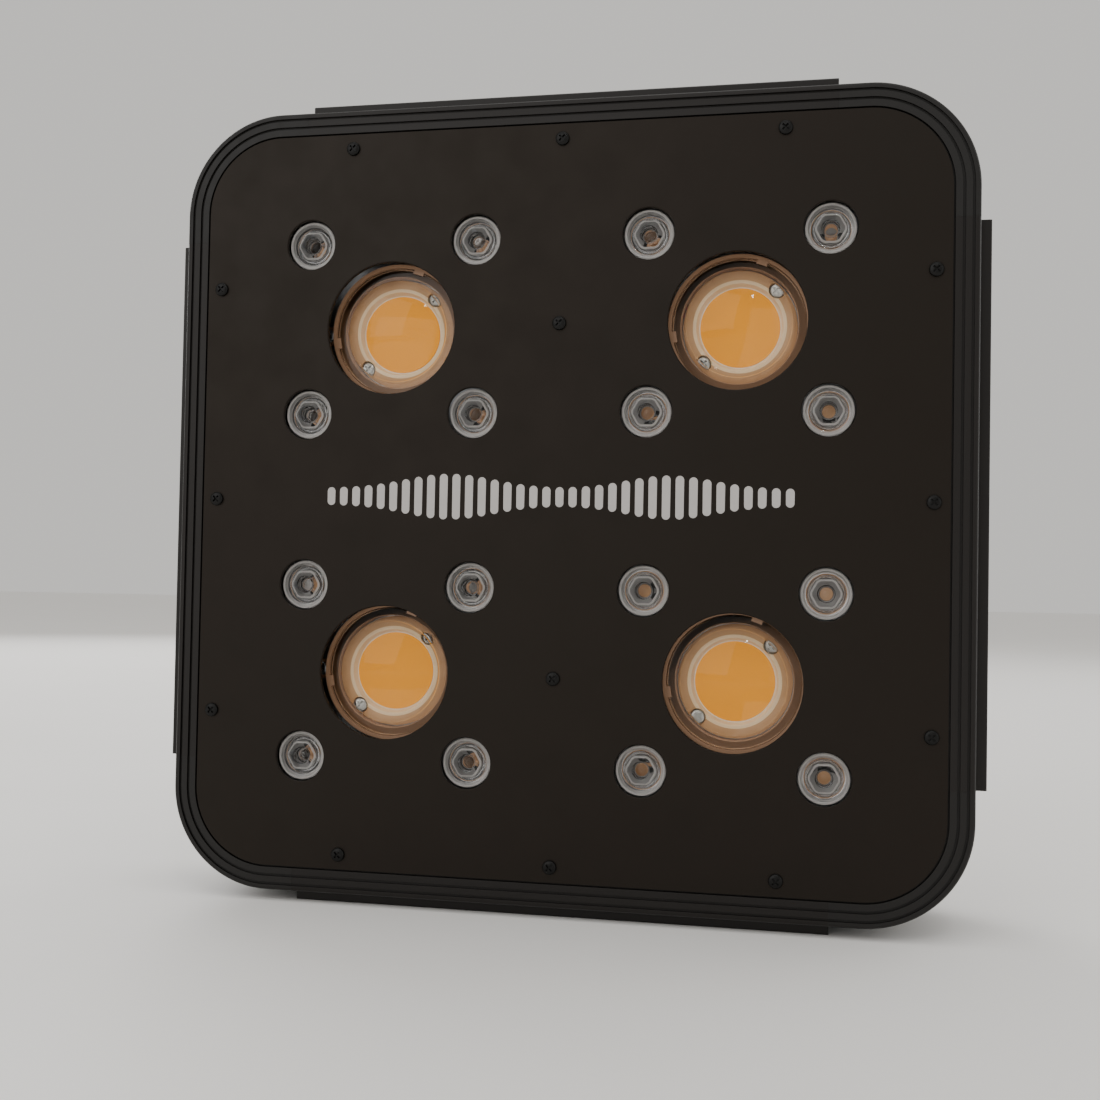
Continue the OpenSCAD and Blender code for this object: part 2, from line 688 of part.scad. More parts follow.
module fuse_drawer() color("#1f1f21") stand() translate([0, drawer_y, 0]) {
    block(drawer_w, drawer_h, inlet_front + 5, inlet_flange_back + 0.4);
    difference() {
        block(drawer_w + 3, drawer_h + 1.6, inlet_flange_back + 0.3, inlet_flange_back + 2);
        block(8, 2, inlet_flange_back + 1.2, inlet_flange_back + 3);
    }
}

module switch_bodies() color("#141415") stand() for (s = [-1, 1])
translate([s * switch_x, switch_y, 0]) difference() {
    union() {
        block(switch_w, switch_h, housing_depth - switch_depth, housing_depth + 0.1);
        block(switch_w + bezel_w, switch_h + bezel_w, housing_depth, housing_depth + bezel_t);
    }
    block(rocker_pocket.x, rocker_pocket.y, housing_depth - 9, housing_depth + bezel_t + EDGE);
    translate([-6.3, 0, -rocker_axis_depth]) rotate([0, 90, 0]) cylinder(r = rocker_pin_r + 0.06, h = 12.6);
}

// A rocker that pivots on two stub pins, and rests with its lower end pressed in.
module rocker(s) color("#8c1410") stand() translate([s * switch_x, switch_y, -rocker_axis_depth])
    rotate([-rocker_tilt, 0, 0]) {
        rotate([90, 0, 90]) translate([0, 0, -rocker_w / 2]) linear_extrude(rocker_w)
            polygon([[-8, -4], [8, -4], [8.1, 3.6], [4, 2.5], [0, 2.1], [-4, 2.5], [-8.1, 3.6]]);
        translate([-6.1, 0, 0]) rotate([0, 90, 0]) cylinder(r = rocker_pin_r, h = 12.2);
    }

module rocker_left() rocker(-1);
module rocker_right() rocker(1);

// ---- Hanging ----

module hanger_brackets() color("#bfc1c4") stand() for (q = QUARTERS)
at_quarter(q, hanger_x, hanger_y) difference() {
    union() {
        block(hanger_base.x, hanger_base.y, housing_depth, housing_depth + hanger_sheet_t);
        for (s = [-1, 1]) translate([s * hanger_ear_x, 0, 0]) {
            block(hanger_sheet_t, 2 * hanger_ear_r, housing_depth, tab_axis_depth);
            translate([-hanger_sheet_t / 2, 0, -tab_axis_depth]) rotate([0, 90, 0])
                cylinder(r = hanger_ear_r, h = hanger_sheet_t);
        }
    }
    translate([-hanger_base.x / 2 - EDGE, 0, -tab_axis_depth]) rotate([0, 90, 0])
        cylinder(r = hanger_pin_r + 0.05, h = hanger_base.x + 2 * EDGE);
    for (s = [-1, 1]) translate([0, rivet_y * s, 0])
        disc(rivet_r + 0.05, housing_depth - EDGE, housing_depth + hanger_sheet_t + EDGE);
}

module hanger_rivets() color("#d0d2d4") stand() for (q = QUARTERS) at_quarter(q, hanger_x, hanger_y)
    for (s = [-1, 1]) translate([0, rivet_y * s, 0]) {
        disc(rivet_r, cover_front - 1, housing_depth + hanger_sheet_t + 0.1);
        disc(rivet_head_r, housing_depth + hanger_sheet_t, housing_depth + hanger_sheet_t + 1.1);
        disc(rivet_head_r, cover_front - 1.4, cover_front);
    }

module hanger_pins() color("#d0d2d4") stand() for (q = QUARTERS) at_quarter(q, hanger_x, hanger_y)
    translate([0, 0, -tab_axis_depth]) rotate([0, 90, 0]) {
        translate([0, 0, -hanger_pin_len / 2]) cylinder(r = hanger_pin_r, h = hanger_pin_len);
        for (s = [-1, 1]) translate([0, 0, s * (hanger_pin_len / 2 + 0.1) - 0.6])
            cylinder(r = hanger_pin_r + 1.2, h = 1.2);
    }

// A stamped tab that swings on its pin. It hangs straight down when the lamp stands on edge.
module hanger_tab(q) color("#c6c8ca") stand() at_quarter(q, hanger_x, hanger_y) difference() {
    union() {
        translate([-tab_w / 2 - 0.9, 0, -tab_axis_depth])
            rotate([0, 90, 0]) cylinder(r = knuckle_r, h = tab_w + 1.8);
        translate([0, -tab_len / 2, 0])
            block(tab_w, tab_len, tab_axis_depth - tab_t / 2, tab_axis_depth + tab_t / 2);
        translate([0, -tab_len, 0]) disc(tab_w / 2, tab_axis_depth - tab_t / 2, tab_axis_depth + tab_t / 2);
    }
    translate([-tab_w, 0, -tab_axis_depth])
        rotate([0, 90, 0]) cylinder(r = hanger_pin_r + 0.06, h = 2 * tab_w);
    translate([0, -tab_len, 0]) disc(eye_r, tab_axis_depth - 5, tab_axis_depth + 5);
}

module hanger_tab_top_left() hanger_tab(TOP_LEFT);
module hanger_tab_top_right() hanger_tab(TOP_RIGHT);
module hanger_tab_bottom_left() hanger_tab(BOTTOM_LEFT);
module hanger_tab_bottom_right() hanger_tab(BOTTOM_RIGHT);

face_plate();
face_screws();
rail_top();
rail_bottom();
rail_left();
rail_right();
corner_top_left();
corner_top_right();
corner_bottom_left();
corner_bottom_right();
corner_screws();
rear_cover();
rear_cover_screws();
heat_sink_top_left();
heat_sink_top_right();
heat_sink_bottom_left();
heat_sink_bottom_right();
heat_sink_posts();
heat_sink_nuts();
cob_boards();
cob_phosphors();
cob_holders();
light_engine_screws();
lens_brackets();
lens_gaskets();
cob_lens_top_left();
cob_lens_top_right();
cob_lens_bottom_left();
cob_lens_bottom_right();
star_boards();
led_emitters();
small_lens_holders();
small_lenses();
fan_frame_top_left();
fan_frame_top_right();
fan_frame_bottom_left();
fan_frame_bottom_right();
fan_rotor_top_left();
fan_rotor_top_right();
fan_rotor_bottom_left();
fan_rotor_bottom_right();
fan_guards();
fan_screws();
driver_tray();
driver_upper();
driver_lower();
wiring();
power_inlet();
inlet_contacts();
fuse_drawer();
switch_bodies();
rocker_left();
rocker_right();
hanger_brackets();
hanger_rivets();
hanger_pins();
hanger_tab_top_left();
hanger_tab_top_right();
hanger_tab_bottom_left();
hanger_tab_bottom_right();
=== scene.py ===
import json
import math

import bmesh
import bpy
from mathutils import Matrix, Quaternion, Vector

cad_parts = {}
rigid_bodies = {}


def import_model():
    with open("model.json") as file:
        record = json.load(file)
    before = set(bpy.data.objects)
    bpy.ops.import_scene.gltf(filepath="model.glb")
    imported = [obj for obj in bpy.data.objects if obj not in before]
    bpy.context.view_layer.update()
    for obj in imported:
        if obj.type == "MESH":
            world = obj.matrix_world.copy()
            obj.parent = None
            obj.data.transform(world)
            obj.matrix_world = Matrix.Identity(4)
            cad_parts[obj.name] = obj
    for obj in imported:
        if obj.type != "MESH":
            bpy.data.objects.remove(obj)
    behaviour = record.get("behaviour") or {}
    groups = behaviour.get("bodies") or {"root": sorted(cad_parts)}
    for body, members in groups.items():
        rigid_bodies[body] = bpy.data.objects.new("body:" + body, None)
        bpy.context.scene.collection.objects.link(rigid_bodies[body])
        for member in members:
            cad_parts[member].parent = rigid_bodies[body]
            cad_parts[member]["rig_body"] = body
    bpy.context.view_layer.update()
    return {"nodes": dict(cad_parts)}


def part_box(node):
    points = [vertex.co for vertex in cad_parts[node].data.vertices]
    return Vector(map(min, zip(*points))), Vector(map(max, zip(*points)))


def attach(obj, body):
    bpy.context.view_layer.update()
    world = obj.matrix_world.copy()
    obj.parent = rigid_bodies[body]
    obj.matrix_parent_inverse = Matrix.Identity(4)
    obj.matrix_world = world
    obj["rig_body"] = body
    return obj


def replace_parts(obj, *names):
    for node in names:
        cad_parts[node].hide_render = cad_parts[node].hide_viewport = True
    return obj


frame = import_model()


# ---- Camera ----
# A normal lens, a little to the right of the lamp and below its middle, looking slightly up.
eye = Vector((0.1243, -0.6481, 0.1490))
target = Vector((-0.0024, -0.0429, 0.1656))
tip = math.radians(1.05)  # the camera was held with its right side this much high
lens = bpy.data.cameras.new("camera")
lens.lens = 44.88
lens.sensor_width = 36
camera = bpy.data.objects.new("camera", lens)
camera.location = eye
camera.rotation_mode = "QUATERNION"
camera.rotation_quaternion = (target - eye).to_track_quat("-Z", "Y") @ Quaternion((0, 0, 1), tip)
bpy.context.scene.collection.objects.link(camera)
bpy.context.scene.camera = camera


# ---- Floor and lights ----
# A pale matt floor under a pale room, large soft boxes at the front left, the right, above and
# behind, and one small lamp that puts a fine glint on glass and plating.
def linear(colour, alpha=1.0):
    """An sRGB colour such as "#1c1a19" as linear red, green, blue and alpha."""
    parts = [int(colour[k:k + 2], 16) / 255 for k in (1, 3, 5)]
    return [c / 12.92 if c <= 0.04045 else ((c + 0.055) / 1.055) ** 2.4 for c in parts] + [alpha]


def add(material, kind, inputs=None, **settings):
    """Adds a node with its settings, and fills its inputs with values or other nodes' outputs."""
    node = material.node_tree.nodes.new("ShaderNode" + kind)
    for name, value in settings.items():
        setattr(node, name, value)
    for name, value in (inputs or {}).items():
        if isinstance(value, bpy.types.NodeSocket):
            material.node_tree.links.new(value, node.inputs[name])
        else:
            node.inputs[name].default_value = value
    return node


def finish(name, colour, second, roughness, grain, relief, stretch=(1, 1, 1), spread=0.06, **sockets):
    """A material whose colour and roughness drift over broad patches, and whose fine grain stands out
    by relief. Grain and relief are in metres. stretch lengthens the grain along an axis."""
    patch = 14 * grain
    material = bpy.data.materials.new(name)
    material.use_nodes = True
    shader = material.node_tree.nodes["Principled BSDF"]
    place = add(material, "TexCoord").outputs["Object"]
    drawn = add(material, "Mapping", {"Vector": place, "Scale": [1 / s for s in stretch]}).outputs[0]
    fine = add(material, "TexNoise", {"Vector": drawn, "Scale": 1 / grain, "Detail": 2}).outputs[0]
    broad = add(material, "TexNoise", {"Vector": drawn, "Scale": 1 / patch, "Detail": 4}).outputs[0]
    mixed = add(material, "Mix", {0: broad, 6: linear(colour), 7: linear(second)},
                data_type="RGBA").outputs[2]
    rough = add(material, "MapRange", {"Value": broad, "From Min": 0.3, "From Max": 0.7,
                                       "To Min": roughness - spread, "To Max": roughness + spread}).outputs[0]
    bump = add(material, "Bump", {"Height": fine, "Distance": relief}).outputs[0]
    for socket, output in (("Base Color", mixed), ("Roughness", rough), ("Normal", bump)):
        material.node_tree.links.new(output, shader.inputs[socket])
    for socket, value in sockets.items():
        shader.inputs[socket.replace("_", " ")].default_value = value
    return material


floor_mesh = bmesh.new()
bmesh.ops.create_grid(floor_mesh, x_segments=1, y_segments=1, size=12)
floor = bpy.data.objects.new("floor", bpy.data.meshes.new("floor"))
floor_mesh.to_mesh(floor.data)
floor_mesh.free()
floor.data.materials.append(finish("pale_floor", "#f4f2ef", "#f1efec", 0.7, 0.02, 0.00002))
bpy.context.scene.collection.objects.link(floor)

room = bpy.data.worlds.new("pale_room")
room.use_nodes = True
walls = room.node_tree.nodes["Background"].inputs
walls["Color"].default_value = linear("#eceae6")
walls["Strength"].default_value = 0.85
bpy.context.scene.world = room

face_mid = (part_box("face_plate")[0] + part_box("face_plate")[1]) / 2


def soft_light(name, place, size, watts):
    """A square soft box at a place, turned to the middle of the lamp."""
    data = bpy.data.lights.new(name, "AREA")
    data.shape = "SQUARE"
    data.size = size
    data.energy = watts
    light = bpy.data.objects.new(name, data)
    light.location = place
    light.rotation_euler = (face_mid - Vector(place)).to_track_quat("-Z", "Y").to_euler()
    bpy.context.scene.collection.objects.link(light)


soft_light("key", (-1.3, -2.4, 1.5), 2.4, 28)
soft_light("fill", (2.2, -1.4, 0.8), 1.8, 7)
soft_light("top", (0.1, -0.1, 2.6), 2.2, 16)
soft_light("behind_left", (-1.6, 2.0, 1.5), 1.8, 32)
soft_light("behind_right", (1.9, 1.6, 0.9), 1.8, 16)
soft_light("glint", (0.35, -1.1, 1.25), 0.08, 1.2)


# ---- Face plate ----
# A 2 mm steel plate, punched for the lenses and screws, with broken edges, and powder coated
# in a warm near-black. The coat's orange peel gives it a soft satin sheen.
def piece_from(bm, name, material, body, smooth=True):
    """Makes a piece of a bmesh, with its material and the body that it rides on."""
    mesh = bpy.data.meshes.new(name)
    bm.normal_update()
    bm.to_mesh(mesh)
    bm.free()
    mesh.materials.append(material)
    mesh.polygons.foreach_set("use_smooth", [smooth] * len(mesh.polygons))
    piece = bpy.data.objects.new(name, mesh)
    bpy.context.scene.collection.objects.link(piece)
    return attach(piece, body)


def edged(node, edge, material, sharp_from=30, segments=2):
    """Stands for a CAD node: the same shape, merged, with its sharp edges rounded over by edge."""
    source = frame["nodes"][node]
    bm = bmesh.new()
    bm.from_mesh(source.data)
    bmesh.ops.remove_doubles(bm, verts=bm.verts, dist=0.000002)
    bmesh.ops.dissolve_limit(bm, angle_limit=math.radians(1), verts=bm.verts, edges=bm.edges)
    sharp = [e for e in bm.edges if e.calc_face_angle(0) > math.radians(sharp_from)]
    bmesh.ops.bevel(bm, geom=sharp, offset=edge, segments=segments, profile=0.5, affect="EDGES",
                    clamp_overlap=True, material=-1)
    piece = piece_from(bm, node + "_edged", material, source["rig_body"])
    piece.modifiers.new("even_shading", "WEIGHTED_NORMAL").weight = 80
    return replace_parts(piece, node)


# The orange peel is drawn at 1.2 mm, twice as coarse as it is, so that it shows.
# The warm tint on the sheen is a painted warm reflection; the coat's own sheen is neutral.
powder_coat = finish("satin_black_powder_coat", "#16120f", "#13100d", 0.44, 0.0012, 0.000018,
                     Specular_IOR_Level=0.2, Specular_Tint=linear("#fff0e2"))
edged("face_plate", 0.0002, powder_coat)


# ---- Printed mark ----
# A plain row of upright bars, like a light's spectrum, screen printed across the middle of the
# face in pale grey epoxy ink.
face_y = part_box("face_plate")[0].y  # depths count back from here, along +Y
mark_from, mark_to = -0.109, 0.106
mark_z = face_mid.z + 0.0015
bar_w, bar_pitch = 0.0038, 0.0061
ink_t = 0.00006
least_bar, hump_rise = 0.008, 0.013
humps = ((0.27, 0.14, 1.0), (0.75, 0.13, 0.9))  # each one's middle, width and share of the rise


def bar_height(share):
    """How tall the bar is that stands at a share of the way along the row."""
    return least_bar + hump_rise * sum(
        size * math.exp(-((share - middle) / wide) ** 2) for middle, wide, size in humps)


ink = finish("pale_grey_ink", "#b4b0ad", "#aaa6a3", 0.5, 0.0006, 0.000008)
mark = bmesh.new()
bar_count = int((mark_to - mark_from) / bar_pitch)
for k in range(bar_count + 1):
    share = k / bar_count
    rise = (bar_height(share) - bar_w) / 2
    ends = bmesh.ops.create_circle(mark, cap_ends=True, segments=24, radius=bar_w / 2)["verts"]
    for v in ends:
        v.co = Vector((v.co.x, 0, v.co.y + math.copysign(rise, v.co.y)))
    x = mark_from + bar_w / 2 + share * (mark_to - mark_from - bar_w)
    bmesh.ops.translate(mark, verts=ends, vec=(x, face_y - ink_t, mark_z))
    face = list({f for v in ends for f in v.link_faces})
    grown = bmesh.ops.extrude_face_region(mark, geom=face, use_keep_orig=True)["geom"]
    inner = [g for g in grown if isinstance(g, bmesh.types.BMVert)]
    bmesh.ops.translate(mark, verts=inner, vec=(0, ink_t, 0))
bmesh.ops.recalc_face_normals(mark, faces=mark.faces)
piece_from(mark, "printed_mark", ink, "housing", smooth=False)


# ---- Face and cover screws ----
# M3 pan-head screws with a cross recess, of steel blackened in hot oxide, that hold the face
# plate and the rear cover to the rim's two ledges.
black_oxide = finish("black_oxide_steel", "#131313", "#1b1a19", 0.36, 0.0004, 0.000006, Metallic=0.75)
for node in ("face_screws", "rear_cover_screws"):
    edged(node, 0.00008, black_oxide, sharp_from=50)


# ---- Side rails ----
# Four ribbed aluminium extrusions, cut to length and anodised black. The drawing die leaves
# faint lines along each rail.
def anodised(name, stretch):
    """Black anodised aluminium, with its die lines along one axis."""
    return finish(name, "#171412", "#1c1917", 0.42, 0.0007, 0.00001, stretch, Metallic=0.25,
                  Specular_IOR_Level=0.3)


across = anodised("black_anodised_across", (60, 1, 1))
upright = anodised("black_anodised_upright", (1, 1, 60))
for side, rail_finish in (("top", across), ("bottom", across), ("left", upright), ("right", upright)):
    edged("rail_" + side, 0.0003, rail_finish)


# ---- Corner pieces ----
# Four glass-filled nylon mouldings that plug into the rails' ends. A spark-eroded mould gives
# them a fine even texture.
spark_texture = finish("black_nylon_spark_texture", "#13110f", "#171513", 0.48, 0.0006, 0.00003,
                       Specular_IOR_Level=0.28)
QUARTERS = ("top_left", "top_right", "bottom_left", "bottom_right")
for corner in QUARTERS:
    edged("corner_" + corner, 0.0003, spark_texture)

zinc_plate = finish("bright_zinc_plate", "#b9bcbf", "#a9abad", 0.30, 0.0015, 0.000008, Metallic=1.0)
edged("corner_screws", 0.00008, zinc_plate, sharp_from=50)


# ---- Glass lenses ----
# Pressed borosilicate lenses, each a shallow dome on a flat flange with a fire-polished edge,
# clear enough that the light engine shows through, magnified.
def arc(middle_r, middle_depth, r, start, end, steps):
    """Points along an arc of a turned profile, as (radius, depth). Angles run from outwards to the front."""
    turns = [math.radians(start + (end - start) * k / steps) for k in range(steps + 1)]
    return [(middle_r + r * math.cos(a), middle_depth - r * math.sin(a)) for a in turns]


def turned(bm, profile, steps, ring=False):
    """Spins a profile of (radius, depth) about the Y axis. A ring's profile closes on itself."""
    verts = [bm.verts.new((r, face_y + depth, 0)) for r, depth in profile]
    pairs = list(zip(verts, verts[1:])) + ([(verts[-1], verts[0])] if ring else [])
    edges = [bm.edges.new(p) for p in pairs]
    bmesh.ops.spin(bm, geom=verts + edges, axis=(0, 1, 0), cent=(0, 0, 0), angle=math.tau, steps=steps,
                   use_merge=True)
    bmesh.ops.remove_doubles(bm, verts=bm.verts, dist=0.000001)
    bmesh.ops.dissolve_degenerate(bm, edges=bm.edges, dist=0.0000005)
    bmesh.ops.recalc_face_normals(bm, faces=bm.faces)


def middle_of(node):
    """Where the middle of a CAD node is, seen from the front."""
    low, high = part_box(node)
    return Vector(((low.x + high.x) / 2, 0, (low.z + high.z) / 2))


def clear_solid(name, colour, ior):
    """A clear solid that bends light, and lets the lamps' light through to what is behind it."""
    material = bpy.data.materials.new(name)
    material.use_nodes = True
    nodes = material.node_tree.nodes
    shader = nodes["Principled BSDF"]
    for socket, value in (("Base Color", linear(colour)), ("Roughness", 0.0), ("IOR", ior),
                          ("Specular Tint", linear("#a8a8a8")), ("Transmission Weight", 1.0)):
        shader.inputs[socket].default_value = value
    path = add(material, "LightPath").outputs["Is Shadow Ray"]
    open_way = add(material, "BsdfTransparent", {"Color": linear(colour)}).outputs[0]
    both = add(material, "MixShader", {0: path, 1: shader.outputs[0], 2: open_way}).outputs[0]
    material.node_tree.links.new(both, nodes["Material Output"].inputs["Surface"])
    return material


flange_r, dome_r = 0.030, 0.025
flange_front, flange_back, dome_tip = 0.011, 0.014, 0.0035
dome_rise = flange_front - dome_tip
sphere_r = (dome_r ** 2 + dome_rise ** 2) / (2 * dome_rise)
wall_r = dome_r - 0.0014  # the dome ends in a short wall, inside where its sphere meets the flange
fillet = 0.001  # where that wall runs into the flange
dome_turn = math.degrees(math.asin(wall_r / sphere_r))
polish = 0.0005  # how far the fire polishing rounds the flange's edges
glass = clear_solid("pressed_borosilicate_glass", "#fbf8f2", 1.474)
for quarter in QUARTERS:
    lens_glass = bmesh.new()
    turned(lens_glass, (
        arc(0, dome_tip + sphere_r, sphere_r, 90, 90 - dome_turn, 24)
        + arc(wall_r + fillet, flange_front - fillet, fillet, 190, 270, 6)
        + arc(flange_r - polish, flange_front + polish, polish, 90, 0, 5)
        + arc(flange_r - polish, flange_back - polish, polish, 0, -90, 5)
        + [(0, flange_back)]
    ), 128)
    bmesh.ops.translate(lens_glass, verts=lens_glass.verts, vec=middle_of("cob_lens_" + quarter))
    dome = piece_from(lens_glass, "glass_dome_" + quarter, glass, "housing")
    dome.modifiers.new("even_shading", "WEIGHTED_NORMAL").weight = 60
    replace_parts(dome, "cob_lens_" + quarter)


# ---- Lens brackets and gaskets ----
# Tan moulded nylon rings that clip each glass down with three tabs, on a ring gasket of
# translucent silicone. Both show through the flange, and warm its edge.
tan_nylon = finish("tan_moulded_nylon", "#a17c60", "#927055", 0.4, 0.0008, 0.00001)
edged("lens_brackets", 0.0002, tan_nylon)
silicone = finish("translucent_silicone", "#bf9878", "#b08a6a", 0.45, 0.001, 0.00001, Transmission_Weight=0.2)
edged("lens_gaskets", 0.0002, silicone)


# ---- Light engines ----
# Chip-on-board LEDs: a yellow phosphor disc cast in silicone on a white ceramic board, held
# down by a cream nylon holder with two screws.
def refinish(node, material):
    """Gives a CAD node that is shown as it is its finish."""
    for slot in frame["nodes"][node].material_slots:
        slot.material = material


# The phosphor has a painted glow: it gives off a faint orange light, though the LEDs are not lit.
phosphor = finish("cast_yellow_phosphor_painted_glow", "#b57500", "#ae6e00", 0.45, 0.0005, 0.00001,
                  Emission_Color=linear("#ffa600"), Emission_Strength=0.42, Specular_IOR_Level=0.1)
refinish("cob_phosphors", phosphor)
white_mask = finish("white_ceramic_board", "#e9e6dd", "#e2dfd6", 0.32, 0.0008, 0.000005)
edged("cob_boards", 0.0001, white_mask)
cream_nylon = finish("cream_nylon", "#ecd5b4", "#e4caa6", 0.42, 0.0008, 0.00001, Subsurface_Weight=0.15,
                     Subsurface_Radius=(0.002, 0.0014, 0.0008))
holders = edged("cob_holders", 0.0003, cream_nylon)
# The sloped rim, which lies outside a radius and behind a depth, gets a darker tan than the cream nylon:
# painted shade with a painted orange glow from the phosphor, on nylon that is cream all over.
painted_shade_rim = finish("cream_nylon_painted_shade_rim", "#c79d72", "#bb9066", 0.42, 0.0008, 0.00001)
holders.data.materials.append(painted_shade_rim)
rim_from, rim_behind = 0.0194, 0.0174
lamp_mids = [middle_of("cob_lens_" + quarter) for quarter in QUARTERS]
for face in holders.data.polygons:
    r = min(math.hypot(face.center.x - mid.x, face.center.z - mid.z) for mid in lamp_mids)
    if r > rim_from and face.center.y > face_y + rim_behind:
        face.material_index = 1
edged("light_engine_screws", 0.00008, zinc_plate, sharp_from=50)


# ---- Small LEDs ----
# Sixteen single emitters on grey star boards, each under a moulded acrylic collimator in a
# black holder. A frosted hexagonal step runs round the middle of each collimator's front.
lens_low, lens_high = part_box("small_lenses")
collar_r = 0.0112
star_pitch = (lens_high.x - lens_low.x - 2 * collar_r) / 3
small_mids = [(lens_low.x + collar_r + i * star_pitch, lens_low.z + collar_r + j * star_pitch)
              for i in range(4) for j in range(4)]
acrylic = clear_solid("clear_moulded_acrylic", "#fdfdfd", 1.49)
lens_steps = 96
hex_across = 0.0056  # from the middle of the lens to a flat of the step
hex_rings = (0.0057, 0.0065)
frosted_from = 0.0100  # the flange is frosted from here out, where the ejector ring presses
front_to = 0.0044  # the depth that the flange's back edge lies in front of


def repeated(one, places):
    """Copies one mesh to each place, all in one new mesh."""
    single = bpy.data.meshes.new("single")
    one.to_mesh(single)
    one.free()
    row = bmesh.new()
    for place in places:
        before = len(row.verts)
        row.from_mesh(single)
        row.verts.ensure_lookup_table()
        bmesh.ops.translate(row, verts=row.verts[before:], vec=place)
    return row


def to_hexagon(bm):
    """Moves two round rings of the front to a hexagon, with softly rounded corners."""
    for v in bm.verts:
        r = math.hypot(v.co.x, v.co.z)
        near = min(hex_rings, key=lambda ring: abs(ring - r))
        if v.co.y < face_y + front_to and abs(near - r) < 0.00002:
            turn = math.atan2(v.co.z, v.co.x) % (math.pi / 3) - math.pi / 6
            wanted = min((hex_across + near - hex_rings[0]) / math.cos(turn), near * 1.06)
            v.co.x, v.co.z = v.co.x * wanted / r, v.co.z * wanted / r


# The profile runs from the middle of the front over the inner lens, the groove round it, the
# hexagonal step and the flange, down the side of the cup, and up into the hollow over the emitter.
one_lens = bmesh.new()
turned(one_lens, (
    [(0, 0.0050)] + arc(0, 0.0096, 0.0046, 84, 52, 8)
    + [(0.0036, 0.0058), (0.0037, 0.0026), (0.0042, 0.0023), (hex_rings[0], 0.0023), (hex_rings[1], 0.0029),
       (0.0084, 0.0030), (0.0093, 0.0023), (frosted_from, 0.0023)]
    + arc(collar_r - 0.0004, 0.0027, 0.0004, 90, 0, 4) + [(collar_r, 0.0043), (0.0093, 0.0043)]
    + arc(-0.0140, 0.0180, 0.0241, 30, 4, 12)
    + [(0.0100 - 0.0048, 0.0170), (0.0034, 0.0170), (0.0034, 0.0131)] + arc(0, 0.0175, 0.0055, 52, 90, 8)
), lens_steps)
to_hexagon(one_lens)
collimators = repeated(one_lens, [(x, 0, z) for x, z in small_mids])
lenses = piece_from(collimators, "acrylic_collimators", acrylic, "housing")
frosted = finish("frosted_acrylic", "#e0dcd8", "#c8c4c0", 0.5, 0.0003, 0.00002, Transmission_Weight=0.7,
                 IOR=1.49)
lenses.data.materials.append(frosted)
for face in lenses.data.polygons:
    middle = face.center
    r = min(math.hypot(middle.x - x, middle.z - z) for x, z in small_mids)
    on_step = hex_rings[0] - 0.0004 < r < hex_rings[1] + 0.0002
    if middle.y < face_y + front_to and (r > frosted_from or on_step):
        face.material_index = 1
lenses.modifiers.new("even_shading", "WEIGHTED_NORMAL").weight = 60
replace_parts(lenses, "small_lenses")

edged("small_lens_holders", 0.0002, spark_texture)
grey_mask = finish("grey_star_board", "#a5a29f", "#989592", 0.4, 0.0008, 0.000005)
edged("star_boards", 0.0001, grey_mask)
# The emitters have a faint painted glow, though they are not lit.
emitter_dome_painted_glow = finish("phosphor_under_silicone_painted_glow", "#dcb083", "#a88562", 0.3, 0.00014, 0.00001,
                      Emission_Color=linear("#ffb070"), Emission_Strength=0.06)
refinish("led_emitters", emitter_dome_painted_glow)


# ---- Heat sinks ----
# Four finned extrusions of bare 6063 aluminium, sawn to length, one behind each lamp, on
# zinc-plated posts with nuts. Die lines run up the fins.
bare_aluminium = finish("bare_extruded_aluminium", "#c6c8ca", "#b4b6b9", 0.34, 0.0008, 0.000012, (1, 1, 40),
                        Metallic=1.0)
for quarter in QUARTERS:
    edged("heat_sink_" + quarter, 0.0001, bare_aluminium)
edged("heat_sink_posts", 0.0002, zinc_plate)
edged("heat_sink_nuts", 0.0002, zinc_plate)


# ---- Fans ----
# Four 92 mm axial fans, moulded in black PBT. Each rotor is one moulding of seven swept blades
# on a hub, with a plain foil sticker over its middle.
black_pbt = finish("black_pbt", "#1a1a1b", "#202021", 0.46, 0.0007, 0.000015)
foil = finish("silver_foil_sticker", "#b8babd", "#a8aaad", 0.28, 0.002, 0.000006, Metallic=0.9)
sticker_r, sticker_t = 0.0145, 0.0001
for quarter in QUARTERS:
    edged("fan_frame_" + quarter, 0.0004, black_pbt, sharp_from=40)
    edged("fan_rotor_" + quarter, 0.0003, black_pbt, sharp_from=40)
    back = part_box("fan_rotor_" + quarter)[1].y - face_y
    sticker = bmesh.new()
    turned(sticker, [(0, back), (sticker_r, back), (sticker_r, back + sticker_t), (0, back + sticker_t)], 96)
    bmesh.ops.translate(sticker, verts=sticker.verts, vec=middle_of("fan_frame_" + quarter))
    piece_from(sticker, "hub_sticker_" + quarter, foil, "fan_" + quarter, smooth=False)


# ---- Fan guards ----
# Finger guards of 1.8 mm steel wire: five rings welded on four spokes that end in eyes, and
# bright nickel plated.
nickel = finish("bright_nickel_plate", "#c4c1bb", "#b7b4ae", 0.16, 0.001, 0.000004, Metallic=1.0)
wire_r = 0.0009
ring_rs = [0.012 + 0.008 * k for k in range(5)]
ring_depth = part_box("fan_guards")[1].y - face_y - wire_r
spoke_depth = ring_depth - 0.0013  # the spokes are welded to the rings' inner side
fan_hole = 0.04125  # from the fan's middle to a screw hole, along x and along z
hole_reach = fan_hole * math.sqrt(2)
eye_ring_r = 0.0034
spoke_from, spoke_to = ring_rs[0] - wire_r, hole_reach - eye_ring_r
spoke_mid = Vector(((spoke_from + spoke_to) / 2, face_y + spoke_depth, 0))
lay = Matrix.Translation(spoke_mid) @ Matrix.Rotation(math.pi / 2, 4, "Y")
one_guard = bmesh.new()
for r in ring_rs:
    turned(one_guard, arc(r, ring_depth, wire_r, 0, 360 - 30, 11), 96, ring=True)
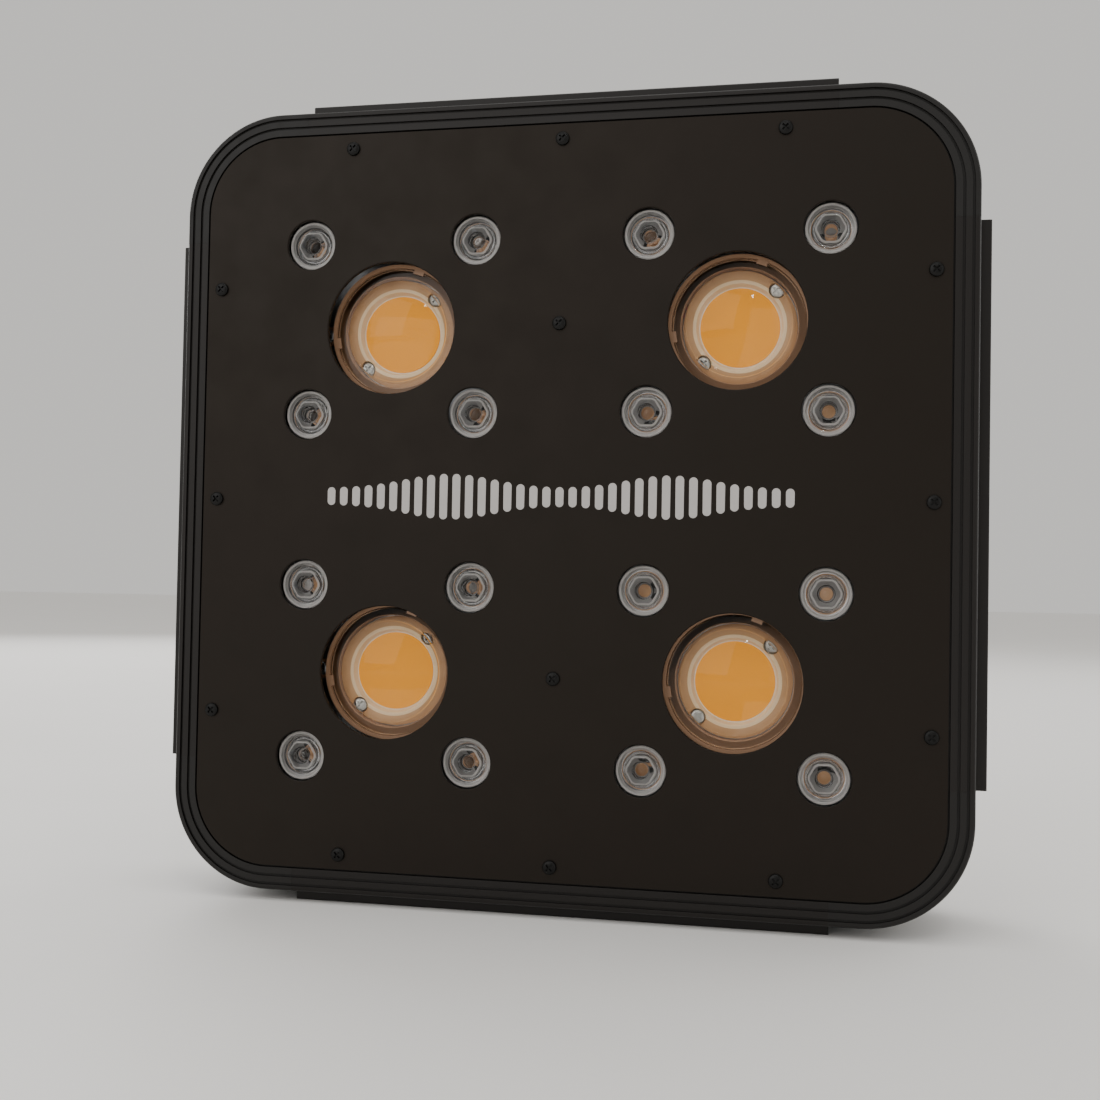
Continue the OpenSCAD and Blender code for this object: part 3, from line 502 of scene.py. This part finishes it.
for turn in (45, 135, 225, 315):
    out = Matrix.Rotation(math.radians(turn), 4, "Y")
    bmesh.ops.create_cone(one_guard, cap_ends=True, segments=16, radius1=wire_r, radius2=wire_r,
                          depth=spoke_to - spoke_from, matrix=out @ lay)
    eye_mesh = bmesh.new()
    turned(eye_mesh, arc(eye_ring_r, spoke_depth, wire_r, 0, 360 - 30, 11), 48, ring=True)
    bmesh.ops.translate(eye_mesh, verts=eye_mesh.verts, vec=(hole_reach, 0, 0))
    bmesh.ops.transform(eye_mesh, verts=eye_mesh.verts, matrix=out)
    held = bpy.data.meshes.new("guard_eye")
    eye_mesh.to_mesh(held)
    eye_mesh.free()
    one_guard.from_mesh(held)
guards = repeated(one_guard, [middle_of("fan_frame_" + quarter) for quarter in QUARTERS])
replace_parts(piece_from(guards, "wire_guards", nickel, "housing"), "fan_guards")
edged("fan_screws", 0.00008, zinc_plate, sharp_from=50)


# ---- Rear cover ----
# A 1.5 mm steel cover with slots for the warm air, powder coated like the face.
edged("rear_cover", 0.0003, powder_coat)


# ---- Drivers and wiring ----
# Two potted LED drivers in ribbed aluminium cases on a zinc-plated tray, with silicone-covered
# leads to the lamps and the inlet.
driver_case = finish("cast_aluminium_case", "#bfc1c3", "#b1b3b5", 0.42, 0.001, 0.00002, Metallic=0.9)
for node in ("driver_upper", "driver_lower"):
    edged(node, 0.0005, driver_case)
edged("driver_tray", 0.0003, zinc_plate)
lead_cover = finish("red_silicone_insulation", "#a8241c", "#9a1f18", 0.38, 0.0006, 0.000006)
refinish("wiring", lead_cover)


# ---- Power inlet and fuse drawer ----
# A moulded nylon inlet socket with plated brass pins, and a fuse drawer that slides out of its
# lower half.
inlet_nylon = finish("black_inlet_nylon", "#151516", "#1a1a1b", 0.40, 0.0007, 0.000012)
edged("power_inlet", 0.0005, inlet_nylon, segments=3)
edged("fuse_drawer", 0.0003, inlet_nylon)
plated_brass = finish("nickel_plated_brass", "#cdbf9a", "#c2b28a", 0.25, 0.001, 0.000004, Metallic=1.0)
edged("inlet_contacts", 0.0002, plated_brass)


# ---- Switches ----
# Two rocker switches: black nylon bodies with rockers of tinted red polycarbonate.
edged("switch_bodies", 0.0003, inlet_nylon)
red_pc = finish("tinted_red_polycarbonate", "#a01512", "#8f110f", 0.22, 0.001, 0.000004, Coat_Weight=0.3)
for node in ("rocker_left", "rocker_right"):
    edged(node, 0.0004, red_pc, segments=3)


# ---- Hanging brackets ----
# Four stamped steel brackets, riveted to the rear cover, each with a tab that swings on a
# pin. All are zinc plated.
for node in ["hanger_brackets", "hanger_rivets", "hanger_pins"] + ["hanger_tab_" + q for q in QUARTERS]:
    edged(node, 0.0002, zinc_plate)
